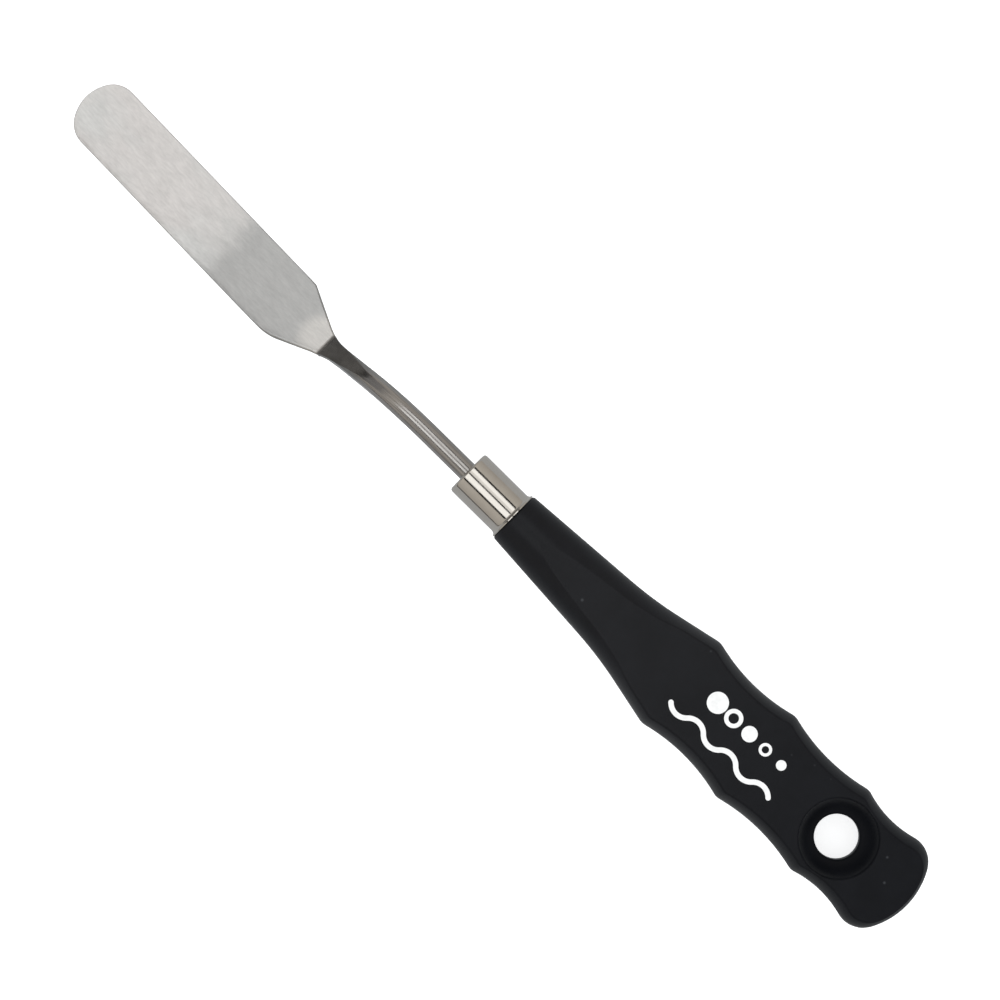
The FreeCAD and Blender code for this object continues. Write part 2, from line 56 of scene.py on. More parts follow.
def knife_matrix():
    """The knife's own frame in the row frame, from the hanging hole's mount."""
    mount = next(m for m in frame["record"]["mounts"] if m["name"] == "hang_hole")
    up = Vector(mount["axis"]).normalized()
    along = Vector((up.z, 0.0, -up.x))
    across = up.cross(along)
    origin = Vector(mount["pos_m"]) + along * HOLE_OFFSET * MM
    turn = Matrix((along, across, up)).transposed().to_4x4()
    return Matrix.Translation(origin) @ turn


KNIFE = knife_matrix()
STEEL = KNIFE @ Matrix.Rotation(STEEL_ROLL, 4, "X")


# ---------------------------------------------------------------- mesh helpers
def show(name, data):
    """A new object in the scene."""
    made = bpy.data.objects.new(name, data)
    bpy.context.scene.collection.objects.link(made)
    return made


def make_piece(name, points, faces, place, node, sharp):
    """A mesh piece in millimetres of the frame place, which stands for one CAD node."""
    mesh = bpy.data.meshes.new(name)
    mesh.from_pydata([Vector(p) * MM for p in points], [], faces)
    work = bmesh.new()
    work.from_mesh(mesh)
    bmesh.ops.remove_doubles(work, verts=work.verts, dist=1e-7)
    bmesh.ops.dissolve_degenerate(work, dist=1e-8, edges=work.edges)
    bmesh.ops.recalc_face_normals(work, faces=work.faces)
    work.to_mesh(mesh)
    work.free()
    mesh.shade_smooth()
    mesh.set_sharp_from_angle(angle=math.radians(sharp))
    mesh.transform(place)
    piece = show(name, mesh)
    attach(piece, "root")
    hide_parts(node)
    return piece


def ring_faces(rings, columns, closed=False):
    """Quads between neighbouring rings of points, and from the last ring to the first if closed."""
    faces = []
    for i in range(rings if closed else rings - 1):
        here, below = i * columns, (i + 1) % rings * columns
        for j in range(columns):
            right = (j + 1) % columns
            faces.append((here + j, here + right, below + right, below + j))
    return faces


def spread(low, high, count):
    """Evenly spaced values, both ends included."""
    return [low + (high - low) * i / (count - 1) for i in range(count)]


def gathered(low, high, count):
    """Values from low to high that crowd towards both ends."""
    return [low + (high - low) * (1 - math.cos(math.pi * t)) / 2 for t in spread(0, 1, count)]


def arc(centre, radius, first, last, count):
    """Points on an arc, from one angle to another in degrees."""
    angles = [math.radians(a) for a in spread(first, last, count)]
    return [(centre[0] + radius * math.cos(a), centre[1] + radius * math.sin(a)) for a in angles]


def bezier(a, b, c, count):
    """A rounding from a to c that would meet at the corner b."""
    out = []
    for t in spread(0, 1, count):
        out.append(tuple(
            p * (1 - t) ** 2 + q * 2 * t * (1 - t) + r * t * t for p, q, r in zip(a, b, c)
        ))
    return out


def arc_centre(first, last, radius):
    """Centre of the arc between two points, on the left of the way from first to last."""
    middle = ((first[0] + last[0]) / 2, (first[1] + last[1]) / 2)
    run, rise = last[0] - first[0], last[1] - first[1]
    chord = math.hypot(run, rise)
    height = math.sqrt(radius**2 - chord**2 / 4)
    return middle[0] - rise / chord * height, middle[1] + run / chord * height


def blend(a, b, t):
    """The point a share t of the way from a to b."""
    return tuple(p + (q - p) * t for p, q in zip(a, b))


def smooth_min(a, b, reach):
    """The lesser of two values, rounded off where they are within reach of each other."""
    gap = max(reach - abs(a - b), 0.0) / reach
    return min(a, b) - gap * gap * reach / 4


def smooth_max(a, b, reach):
    """The greater of two values, rounded off in the same way."""
    return -smooth_min(-a, -b, reach)


def smooth_step(low, high, x):
    """An S-curve from 0 at low to 1 at high."""
    t = min(max((x - low) / (high - low), 0.0), 1.0)
    return t * t * (3 - 2 * t)


def lathe(outline, count):
    """The points and faces of a closed outline of (x, radius) points turned round the X axis."""
    points = []
    for i in range(count):
        angle = 2 * math.pi * i / count
        points += [(x, r * math.cos(angle), r * math.sin(angle)) for x, r in outline]
    return points, ring_faces(count, len(outline), closed=True)


# ---------------------------------------------------------------- grip
# Places along the grip are distances back from the ferrule joint.
GRIP_FRONT, GRIP_FACE = 5.97, 6.5  # radius at the ferrule, and height of the flat faces
GRIP_MOUTH = 5.2                   # radius of the opening at the ferrule
FRONT_EDGE = 0.6                   # rounding of the front edge
FLARE = (32.9, 8.23)               # place and half width where the sides begin to spread faster
CRESTS = [(49.3, 11.76), (71.1, 11.84), (92.8, 11.68)]
FLARE_REACH, CREST_REACH = 0.9, 0.45    # softness of the outline at the flare and at the crests
CREST_LEAD = 6.0                   # how far ahead of a crest the next hollow is looked at
WAIST_SWEEPS = [40.9, 42.0, 22.8]  # radii of the hollows behind the crests
BUTT = (97.65, 17.44)              # centre and radius of the rounded end
BUTT_CORNER = (5.67, 11.42, 16.5)  # radius, half width and lead-in angle of its corners
FLANK = 2.05                       # width of the rounded side outside the flat face
FLANK_FROM, FLANK_TO = (36.0, 44.0), (103.0, 108.0)    # where the side takes and leaves that width
FACE_EDGE = 0.75                   # rounding between the flat face and the side
FACE_EDGE_SHARE = 0.45             # most that it takes of the side's own radius
PARTING = 0.04                     # height of the parting line
PARTING_HALVES = (0.07, 0.18, 0.28)     # its half thickness at the crest, the foot and the blend
STATION = 0.5                      # usual distance between sections
BUTT_STATION = 0.3                 # the same where the rounded end begins
FACE_COLUMNS = 13                  # points across half of a flat face
HOLE_ROWS = (83.94, 105.34)        # stretch of the grip whose flat faces are meshed round the hole
HOLE_BORE, HOLE_WEB = 4.72, 1.5    # radius of the hanging hole, half thickness of the web round it
HOLE_LIP = (0.23, 0.22, 0.4)       # its rounding: how far out, up and down from the corner
DISH_RADIUS, DISH_SWEEP = 8.45, 6.6     # radius of the dish at the flat face, and of its bowl
DISH_RIM = (0.35, 0.25, 0.65)      # its rounding: how far out, in and down from the corner

# Limits just clear of the core: its round neck, its plate, and the ring round the hanging hole.
NECK_END, NECK_RADIUS = 39.9, 5.3
PLATE_END, PLATE_RADIUS = 82.05, 8.4
RING_RADIUS, RING_HALF = 5.9, 1.0


def corner_points():
    """Centre and ends of the rounded corner at the butt, as (distance back, half width)."""
    radius, half, lead = BUTT_CORNER
    reach, rise = BUTT[1] - radius, half - radius
    centre = (BUTT[0] + math.sqrt(reach**2 - rise**2), rise)
    lead = math.radians(lead)
    start = (centre[0] - radius * math.sin(lead), centre[1] + radius * math.cos(lead))
    stretch = BUTT[1] / reach
    finish = (BUTT[0] + (centre[0] - BUTT[0]) * stretch, rise * stretch)
    return centre, start, finish


def waist(first, last, sweep, d):
    """Half width at d of the hollow between two points of the outline."""
    centre = arc_centre(first, last, sweep)
    return centre[1] - math.sqrt(max(sweep**2 - (d - centre[0]) ** 2, 0.0))


def half_width(d):
    """Half width of the grip, d millimetres behind the ferrule joint."""
    centre, start, finish = corner_points()
    if d >= finish[0]:
        return math.sqrt(max(BUTT[1] ** 2 - (d - BUTT[0]) ** 2, 0.0))
    if d >= start[0]:
        return centre[1] + math.sqrt(BUTT_CORNER[0] ** 2 - (d - centre[0]) ** 2)
    straight = GRIP_FRONT + (FLARE[1] - GRIP_FRONT) / FLARE[0] * d
    slope = (CRESTS[0][1] - FLARE[1]) / (CRESTS[0][0] - FLARE[0])
    width = before = smooth_max(straight, FLARE[1] + slope * (d - FLARE[0]), FLARE_REACH)
    ends = CRESTS + [start]
    for i, sweep in enumerate(WAIST_SWEEPS):
        if d > CRESTS[i][0] - CREST_LEAD:
            hollow = waist(ends[i], ends[i + 1], sweep, d)
            width = smooth_min(before, hollow, CREST_REACH)
            before = hollow
    return width


def front_rounding(d):
    """How far the front edge is rounded off at d."""
    left = max(FRONT_EDGE - d, 0.0)
    return FRONT_EDGE - math.sqrt(FRONT_EDGE**2 - left**2)


def flank_width(width, d):
    """Distance from the outline in to the edge of the flat face."""
    if width <= GRIP_FACE:
        return width
    turned = width - math.sqrt(width**2 - GRIP_FACE**2)
    even = smooth_step(*FLANK_FROM, d) * (1 - smooth_step(*FLANK_TO, d))
    return turned + (min(FLANK, turned) - turned) * even


def grip_section(d):
    """A quarter of a section, from the middle of the top face to the parting line, as (y, z)."""
    width = max(half_width(d) - front_rounding(d), 0.001)
    ridge = min(1.0, width / 3)     # the parting line runs out where the butt closes
    side = width - PARTING * ridge
    crest, foot, blended = (half * ridge for half in PARTING_HALVES)
    flank = flank_width(side, d)
    level = min(GRIP_FACE, side)
    sweep = (flank**2 + level**2) / (2 * flank)
    edge = min(FACE_EDGE, sweep * FACE_EDGE_SHARE)
    drop = level - edge
    reach = math.sqrt(max((sweep - edge) ** 2 - drop**2, 0.0))
    face_end = max(side - sweep + reach, 0.0)
    lean = math.degrees(math.atan2(drop, reach))
    low = math.degrees(math.asin(blended / sweep))
    points = [(face_end * t, level) for t in spread(0, 1, FACE_COLUMNS)]
    points += arc((face_end, drop), edge, 90, lean, 7)[1:]
    points += arc((side - sweep, 0), sweep, lean, low, 12)[1:]
    return points + [(side, foot), (width, crest), (width, 0.0)]


def full_ring(quarter):
    """A closed section from its first quarter, starting at the middle of the top face."""
    below = [(y, -z) for y, z in reversed(quarter[:-1])]
    half = quarter + below
    return half + [(-y, z) for y, z in reversed(half[1:-1])]


def grip_stops():
    """Places of the sections, crowded at the front edge and the butt."""
    stops = [FRONT_EDGE * (1 - math.cos(math.radians(a))) for a in spread(0, 90, 7)]
    stops += spread(FRONT_EDGE + STATION, HOLE_ROWS[0] - STATION, 165)
    stops += spread(*HOLE_ROWS, 43)
    finish = corner_points()[2][0]
    stops += spread(HOLE_ROWS[1] + STATION, finish - BUTT_STATION, 14)
    low = math.degrees(math.acos((finish - BUTT[0]) / BUTT[1]))
    stops += [BUTT[0] + BUTT[1] * math.cos(math.radians(a)) for a in gathered(low, 0, 26)]
    return stops


def dish_outline():
    """(radius, height) of the hanging hole's dish, from the flat face in to the middle of the web."""
    out, inwards, down = DISH_RIM
    rim_end = (DISH_RADIUS - inwards, GRIP_FACE - down)
    rim = bezier((DISH_RADIUS + out, GRIP_FACE), (DISH_RADIUS, GRIP_FACE), rim_end, 7)
    out, up, down = HOLE_LIP
    lip_start = (HOLE_BORE + out, HOLE_WEB + up)
    lip = bezier(lip_start, (HOLE_BORE, HOLE_WEB), (HOLE_BORE, HOLE_WEB - down), 5)
    centre = arc_centre(lip_start, rim_end, DISH_SWEEP)
    first, last = (
        math.degrees(math.atan2(height - centre[1], radius - centre[0]))
        for radius, height in (rim_end, lip_start)
    )
    bowl = arc(centre, DISH_SWEEP, first, last, 14)
    return rim + bowl[1:-1] + lip + [(HOLE_BORE, 0.0)]


def cavity(node):
    """The faces of the CAD grip that line its cavity, in millimetres of the knife's frame."""
    mesh = frame["nodes"][node].data
    back = KNIFE.inverted()
    points = [tuple(back @ v.co / MM) for v in mesh.vertices]

    def inside(point):
        """Whether a point lies on the core and not on the outside of the grip."""
        x, y, z = point
        radius = math.hypot(y, z)
        if x > -NECK_END:
            return radius < NECK_RADIUS
        if x > -PLATE_END:
            return radius < PLATE_RADIUS and abs(z) < NECK_RADIUS
        return abs(z) < RING_HALF and math.hypot(x + HOLE_OFFSET, y) > RING_RADIUS

    faces = [tuple(f.vertices) for f in mesh.polygons]
    faces = [f for f in faces if all(inside(points[i]) for i in f)]
    used = sorted({i for f in faces for i in f})
    place = {old: new for new, old in enumerate(used)}
    return [points[i] for i in used], [tuple(place[i] for i in f) for f in faces]


def add_dish(points, faces, loop, side):
    """Meshes the dish on one side, from a loop of points on the flat face in to the web's middle."""
    bearing = {i: math.atan2(points[i][1], points[i][0] + HOLE_OFFSET) for i in loop}
    loop = sorted(loop, key=bearing.get)
    rows = [loop]
    for radius, height in dish_outline():
        rows.append(range(len(points), len(points) + len(loop)))
        for a in (bearing[i] for i in loop):
            x, y = radius * math.cos(a) - HOLE_OFFSET, radius * math.sin(a)
            points.append((x, y, height * side))
    for k in range(len(loop)):
        after = (k + 1) % len(loop)
        faces.extend((a[k], a[after], b[after], b[k]) for a, b in zip(rows, rows[1:]))


def grip():
    """The moulded soft grip."""
    stops = grip_stops()
    rings = [full_ring(grip_section(d)) for d in stops]
    columns = len(rings[0])
    points = [(-d, y, z) for d, ring in zip(stops, rings) for y, z in ring]
    first, last = (min(range(len(stops)), key=lambda i: abs(stops[i] - d)) for d in HOLE_ROWS)
    half = columns // 2

    def on_face(j):
        """Whether the quads after column j lie on the upper or the lower flat face."""
        above = j < FACE_COLUMNS - 1 or j >= columns - FACE_COLUMNS + 1
        return above or half - FACE_COLUMNS < j < half + FACE_COLUMNS - 1

    faces = [
        face for k, face in enumerate(ring_faces(len(stops), columns))
        if not (first <= k // columns < last and on_face(k % columns))
    ]
    edge = FACE_COLUMNS - 1
    for side, middle in ((1, 0), (-1, half)):
        across = [(middle + j) % columns for j in range(-edge, edge + 1)]
        loop = [first * columns + j for j in across] + [last * columns + j for j in across]
        for i in range(first + 1, last):
            loop += [i * columns + across[0], i * columns + across[-1]]
        add_dish(points, faces, loop, side)

    start = len(points)
    for y, z in rings[0]:
        scale = GRIP_MOUTH / math.hypot(y, z)
        points.append((0.0, y * scale, z * scale))
    faces += [
        (j, (j + 1) % columns, start + (j + 1) % columns, start + j) for j in range(columns)
    ]
    lining, lining_faces = cavity("grip_cover")
    start = len(points)
    points += lining
    faces += [tuple(start + i for i in f) for f in lining_faces]
    piece = make_piece("grip", points, faces, KNIFE, "grip_cover", sharp=40)
    return piece


# ---------------------------------------------------------------- ferrule
FERRULE_LENGTH, FERRULE_RADIUS, FERRULE_WALL = 13.35, 5.2, 0.4
FERRULE_CORNER = 0.65              # rounding between its side and its front
FERRULE_HOLE = 2.21                # radius round the shank
LIP_RADIUS, LIP_LENGTH, LIP_RIM = 5.85, 1.1, 0.25      # the flare on to the handle, with a plain rim
EDGE_SOFT = 0.08                   # rounding of the cut edges
RIM_RUN, RIM_DROP = 0.06, 0.07     # rounding between the rim and the flare
SIDE_ROWS, FRONT_ROW = (1.6, 4.0, 7.0, 10.0, 12.0), 3.4    # rows of points over its plain faces


def ferrule():
    """The plated cup: rear lip flared on to the handle, front edge turned in to the shank."""
    front = FERRULE_LENGTH
    inner = FERRULE_RADIUS - FERRULE_WALL
    rise, run = LIP_RADIUS - FERRULE_RADIUS, LIP_LENGTH - LIP_RIM
    sweep = (rise**2 + run**2) / (2 * rise)
    lean = math.degrees(math.asin(run / sweep))
    rear_start, rear_end = (0.0, LIP_RADIUS - EDGE_SOFT), (EDGE_SOFT, LIP_RADIUS)
    rim_start, rim_end = (LIP_RIM - RIM_RUN, LIP_RADIUS), (LIP_RIM + RIM_RUN, LIP_RADIUS - RIM_DROP)
    hole_start, hole_end = (front, FERRULE_HOLE + EDGE_SOFT), (front - EDGE_SOFT, FERRULE_HOLE)
    outline = [(0.0, inner)] + bezier(rear_start, (0.0, LIP_RADIUS), rear_end, 4)
    outline += bezier(rim_start, (LIP_RIM, LIP_RADIUS), rim_end, 4)
    flare = arc((LIP_LENGTH, FERRULE_RADIUS + sweep), sweep, 270 - lean, 270, 9)
    outline += [p for p in flare if p[0] > rim_end[0]]
    outline += [(x, FERRULE_RADIUS) for x in SIDE_ROWS]
    corner = (front - FERRULE_CORNER, FERRULE_RADIUS - FERRULE_CORNER)
    outline += arc(corner, FERRULE_CORNER, 90, 0, 12)
    outline += [(front, FRONT_ROW)] + bezier(hole_start, (front, FERRULE_HOLE), hole_end, 4)
    outline += [(front - FERRULE_WALL, FERRULE_HOLE), (front - FERRULE_WALL, inner)]
    points, faces = lathe(outline, 160)
    piece = make_piece("ferrule_shell", points, faces, KNIFE, "ferrule", sharp=50)
    return piece


# ---------------------------------------------------------------- shank
SHANK_RADIUS = 2.165
TANG_END, TANG_FLAT = -53.0, 10.0              # rear end, and length of the two flats there
TANG_FLAT_LEVEL = 1.55                         # half thickness over the flats
GROOVES = [-18.0 - 7.0 * i for i in range(4)]  # front edges of the ring grooves round the tang
GROOVE_WIDTH, GROOVE_DEPTH = 1.2, 0.35
STEP_ROWS = 0.01                               # how far from a step the sections beside it are
PLAIN_ROWS = [TANG_END, -8.0, STEP_ROWS]       # sections enough for the plain round parts of the rod
CRANK = (23.56, 30.0, math.radians(38.0))      # start, radius and angle of the bend
CRANK_RUN = 15.66                              # straight run from the bend to the crease
FORGED_TOP, FORGED_UNDER = 19.0, 12.0          # lengths that are forged flat above and below
FORGED_SKEW = 1.35                             # sets the steepest part nearer the blade
STEEL_HALF = 0.55                              # half thickness at the crease
NECK_HALF = 1.92                               # half width of the waist
WAISTING = (28.0, 49.0)                        # stretch over which the neck narrows to it
TAIL, WELD = 1.0, 0.35                         # lengths of the blade's tail and of the weld behind it
BEND_END = (
    CRANK[0] + CRANK[1] * math.sin(CRANK[2]), CRANK[1] * (math.cos(CRANK[2]) - 1),
)
CREASE = (
    BEND_END[0] + CRANK_RUN * math.cos(CRANK[2]), BEND_END[1] - CRANK_RUN * math.sin(CRANK[2]),
)
SHOULDER = (CREASE[0] + 9.8, 7.6)              # where the heel's taper would meet the full width
TAPER = math.radians(25.4)                     # lean of the heel's two sides
FLARE_SWEEP = 17.5                             # radius between the waist and the taper
FLARE_CORNER = SHOULDER[0] - (SHOULDER[1] - NECK_HALF) / math.tan(TAPER)
FLARE_RUN = FLARE_SWEEP * math.tan(TAPER / 2)


def neck_width(x):
    """Half width of the waisted neck and the start of the blade."""
    start = FLARE_CORNER - FLARE_RUN
    if x <= start:
        return NECK_HALF + (SHANK_RADIUS - NECK_HALF) * (1 - smooth_step(*WAISTING, x))
    return NECK_HALF + FLARE_SWEEP - math.sqrt(FLARE_SWEEP**2 - (x - start) ** 2)


def shank_line(s):
    """Centre (x, z) and slope of the shank, s millimetres along it from X = 0."""
    bend = CRANK[1] * CRANK[2]
    if s <= CRANK[0]:
        return (s, 0.0), 0.0
    if s <= CRANK[0] + bend:
        a = (s - CRANK[0]) / CRANK[1]
        return (CRANK[0] + CRANK[1] * math.sin(a), CRANK[1] * (math.cos(a) - 1)), a
    run = s - CRANK[0] - bend
    a = CRANK[2]
    return (BEND_END[0] + run * math.cos(a), BEND_END[1] - run * math.sin(a)), a


SHANK_END = CRANK[0] + CRANK[1] * CRANK[2] + CRANK_RUN - TAIL - WELD
FLAT_SHARES = (0, 0.3, 0.6, 0.85, 0.95, 0.985, 1)      # columns of a flat, close at its edge


def shank_section(s):
    """A closed section of the shank at s, as (side, up) points from the middle of its top."""
    (x, _), _ = shank_line(s)
    radius = SHANK_RADIUS - tang_groove(s)
    limit = min(neck_width(x), radius)
    swell = max(neck_width(x) / radius, 1.0) if s > CRANK[0] else 1.0
    quarters = []
    for length in (FORGED_TOP, FORGED_UNDER):
        reached = min(max(1 - (SHANK_END - s) / length, 0.0), 1.0)
        worked = smooth_step(0, 1, reached**FORGED_SKEW)
        level = SHANK_RADIUS - (SHANK_RADIUS - STEEL_HALF) * worked
        if s < TANG_END + TANG_FLAT:
            level = TANG_FLAT_LEVEL
        level = min(level, radius)
        reach = min(math.sqrt(radius**2 - level**2), limit)
        start = math.degrees(math.asin(level / radius))
        flat = [(reach * t, level) for t in FLAT_SHARES]
        side = [(min(a, limit), b) for a, b in arc((0, 0), radius, start, 0, 18)]
        quarters.append(flat + side[1:])
    right = quarters[0] + [(a, -b) for a, b in reversed(quarters[1][:-1])]
    right = [(a * swell, b) for a, b in right]
    return right + [(-a, b) for a, b in reversed(right[1:-1])]


def tang_groove(s):
    """Depth of the tang's ring grooves at s."""
    return GROOVE_DEPTH if any(front - GROOVE_WIDTH <= s <= front for front in GROOVES) else 0.0


def shank_stops():
    """Places of the sections along the shank, with a close pair at each step of the tang."""
    steps = [TANG_END + TANG_FLAT] + GROOVES + [front - GROOVE_WIDTH for front in GROOVES]
    pairs = [step + shift for step in steps for shift in (-STEP_ROWS, STEP_ROWS)]
    neck = spread(6.0, CRANK[0], 10)
    worked = spread(CRANK[0] + 0.4, SHANK_END, 90)
    return sorted(PLAIN_ROWS + pairs + neck + worked)


def swept(stops, section):
    """The points and faces of closed sections set square to the shank's line, with both ends shut."""
    points = []
    for s in stops:
        (x, z), slope = shank_line(s)
        for side, up in section(s):
            points.append((x + up * math.sin(slope), side, z + up * math.cos(slope)))
    columns = len(points) // len(stops)
    ends = [tuple(range(columns)), tuple(len(points) - 1 - i for i in range(columns))]
    return points, ring_faces(len(stops), columns) + ends


def shank():
    """The rod: grooved tang, neck, crank, and a front end forged flat."""
    points, faces = swept(shank_stops(), shank_section)
    piece = make_piece("shank_rod", points, faces, STEEL, "shank", sharp=38)
    return piece


# ---------------------------------------------------------------- blade and weld
HEEL_RISE, FRONT_RISE = 9.0, 12.3              # degrees
HEEL_LENGTH, FRONT_LENGTH = 28.8, 43.35
HEEL_HALF, TIP_HALF = 0.45, 0.25               # half thicknesses
TIP_WIDTH = 7.5                                # half width where the nose begins
NOSE, NOSE_CORNER = 9.4, 5.3                   # radii of the nose and of its corners
BLUNT, CRISP = 11.2, 1.5                       # radii of the two shoulders
CURL = (6.0, 0.3)                              # length and height of the curl in front of the crease
CREASE_REACH = 0.25                            # softness of the crease
EASED = 0.16                                   # rounding of the blade's edges
TAPER_EASED = {-1: 0.45, 1: 0.9}               # width of the rounding beside the heel, crisp and blunt
EASED_CHANGE = (SHOULDER[0] - 3.0, SHOULDER[0] + 5.0)  # where it falls to the usual rounding
EASED_DEPTH = 0.4                              # most that an edge is rounded down
EASING = [(1.0, 0.0), (0.62, 0.08), (0.3, 0.3), (0.08, 0.62), (0.0, 1.0)]  # shares in and down
BLADE_COLUMNS = 18                             # points across a face
WELD_CROWN, WELD_CORNER = 0.03, 0.12           # height of the bead, rounding of its corners


def blade_line():
    """(x, z, half thickness) along the middle of the blade in front of the crease."""
    step, spare = 0.1, 1.0     # the line runs on a little past the tip
    x, z = CREASE
    rows = [(x, z, STEEL_HALF / math.cos(math.radians(HEEL_RISE)))]
    s = 0.0
    while s < HEEL_LENGTH + FRONT_LENGTH + spare:
        rise = HEEL_RISE + (FRONT_RISE - HEEL_RISE) * min((s + step / 2) / HEEL_LENGTH, 1.0)
        rise = math.radians(rise)
        x += step * math.cos(rise)
        z += step * math.sin(rise)
        s += step
        half = STEEL_HALF + (HEEL_HALF - STEEL_HALF) * min(s / HEEL_LENGTH, 1.0)
        half += (TIP_HALF - HEEL_HALF) * max((s - HEEL_LENGTH) / FRONT_LENGTH, 0.0)
        rows.append((x, z, half / math.cos(rise)))
    return rows


BLADE_LINE = blade_line()


def blade_height(x, face):
    """Height at x of the blade's upper (1) or lower (-1) face."""
    place = max((x - CREASE[0]) / (BLADE_LINE[-1][0] - CREASE[0]) * (len(BLADE_LINE) - 1), 0.0)
    i = min(max(int(place) - 2, 0), len(BLADE_LINE) - 2)
    while i < len(BLADE_LINE) - 2 and BLADE_LINE[i + 1][0] < x:
        i += 1
    a, b = BLADE_LINE[i], BLADE_LINE[i + 1]
    t = (x - a[0]) / (b[0] - a[0])
    front = a[1] + (b[1] - a[1]) * t + (a[2] + (b[2] - a[2]) * t) * face
    curl = max(1 - max(x - CREASE[0], 0.0) / CURL[0], 0.0)
    front += CURL[1] * curl * curl
    tail = CREASE[1] - (x - CREASE[0]) * math.tan(CRANK[2]) + STEEL_HALF / math.cos(CRANK[2]) * face
    return smooth_max(front, tail, CREASE_REACH)


def blade_side(shoulder_radius, tail):
    """One side of the blade's outline from tail to tip: (x, half width) points."""
    start = FLARE_CORNER - FLARE_RUN
    side = []
    for t in spread(math.asin((tail - start) / FLARE_SWEEP), TAPER, 30):
        rise = FLARE_SWEEP * (1 - math.cos(t))
        side.append((start + FLARE_SWEEP * math.sin(t), NECK_HALF + rise))
    tangent = shoulder_radius * math.tan(TAPER / 2)
    taper_end = (
        SHOULDER[0] - tangent * math.cos(TAPER), SHOULDER[1] - tangent * math.sin(TAPER),
    )
    begin = side[-1]
    side += [blend(begin, taper_end, t) for t in spread(0, 1, 22)[1:-1]]
    centre = (SHOULDER[0] + tangent, SHOULDER[1] - shoulder_radius)
    side += arc(centre, shoulder_radius, 90 + math.degrees(TAPER), 90, 14)
    rise, reach = TIP_WIDTH - NOSE_CORNER, NOSE - NOSE_CORNER
    nose_x = tip_x() - NOSE
    corner_x = nose_x + math.sqrt(reach**2 - rise**2)
    turn = math.degrees(math.asin(rise / reach))
    begin = side[-1]
    side += [blend(begin, (corner_x, TIP_WIDTH), t) for t in spread(0, 1, 90)[1:-1]]
    side += arc((corner_x, rise), NOSE_CORNER, 90, turn, 26)
    side += arc((nose_x, 0.0), NOSE, turn, 0, 26)[1:]
    return side


def tip_x():
    """X of the blade's tip."""
    heel, front = math.radians((HEEL_RISE + FRONT_RISE) / 2), math.radians(FRONT_RISE)
    return CREASE[0] + HEEL_LENGTH * math.cos(heel) + FRONT_LENGTH * math.cos(front)


def inset(side, amounts):
    """The outline moved inwards, by its own amount at each point."""
    out = []
    for i, (x, y) in enumerate(side):
        before, after = side[max(i - 1, 0)], side[min(i + 1, len(side) - 1)]
        run, rise = after[0] - before[0], after[1] - before[1]
        if i == len(side) - 1:
            run, rise = 0.0, -1.0
        length = math.hypot(run, rise)
        out.append((x + rise / length * amounts[i], max(y - run / length * amounts[i], 0.0)))
    out[0] = (side[0][0], out[0][1])
    return out


def eased(x, sign):
    """Width of the rounding along one side of the blade."""
    beside_heel = 1 - smooth_step(*EASED_CHANGE, x)
    return EASED + (TAPER_EASED[sign] - EASED) * beside_heel


def blade():
    """Sprung steel with a round nose, one blunt and one crisp shoulder, and eased edges."""
    rails = []
    for face in (1, -1):
        lean = STEEL_HALF * math.sin(CRANK[2]) * face
        tail = CREASE[0] - TAIL * math.cos(CRANK[2]) + lean
        edges = []
        for sign, shoulder in ((-1, CRISP), (1, BLUNT)):
            side = blade_side(shoulder, tail)
            rim = []
            widths = [eased(x, sign) for x, _ in side]
            for amount, drop in EASING:
                line = inset(side, [amount * width for width in widths])
                rim.append([
                    (x, y * sign, blade_height(x, face) - drop * min(width, EASED_DEPTH) * face)
                    for (x, y), width in zip(line, widths)
                ])
            edges.append(rim)
        flat = []
        for t in spread(0, 1, BLADE_COLUMNS)[1:-1]:
            line = [blend(a, b, t) for a, b in zip(edges[0][0], edges[1][0])]
            flat.append([(x, y, blade_height(x, face)) for x, y, _ in line])
        across = list(reversed(edges[0])) + flat + edges[1]
        rails += across if face == 1 else list(reversed(across))
    points = [point for section in zip(*rails) for point in section]
    faces = ring_faces(len(rails[0]), len(rails))
    faces.append(tuple(range(len(rails))))
    piece = make_piece("blade_body", points, faces, STEEL, "blade", sharp=60)
    return piece


def weld_section(s):
    """A closed section of the weld bead at s, a little proud of the steel at either side."""
    (x, _), _ = shank_line(s)
    bulge = WELD_CROWN * (1 - (2 * (s - SHANK_END) / WELD - 1) ** 2)
    width, height = neck_width(x) + bulge, STEEL_HALF + bulge
    quarter = [(width * t, height) for t in spread(0, 0.75, 4)]
    quarter += arc((width - WELD_CORNER, height - WELD_CORNER), WELD_CORNER, 90, 0, 5)
    return full_ring(quarter + [(width, 0.0)])


def weld():
    """The dressed butt weld across the neck."""
    points, faces = swept(spread(SHANK_END, SHANK_END + WELD, 7), weld_section)
    piece = make_piece("weld_bead", points, faces, STEEL, "weld_seam", sharp=50)
    return piece


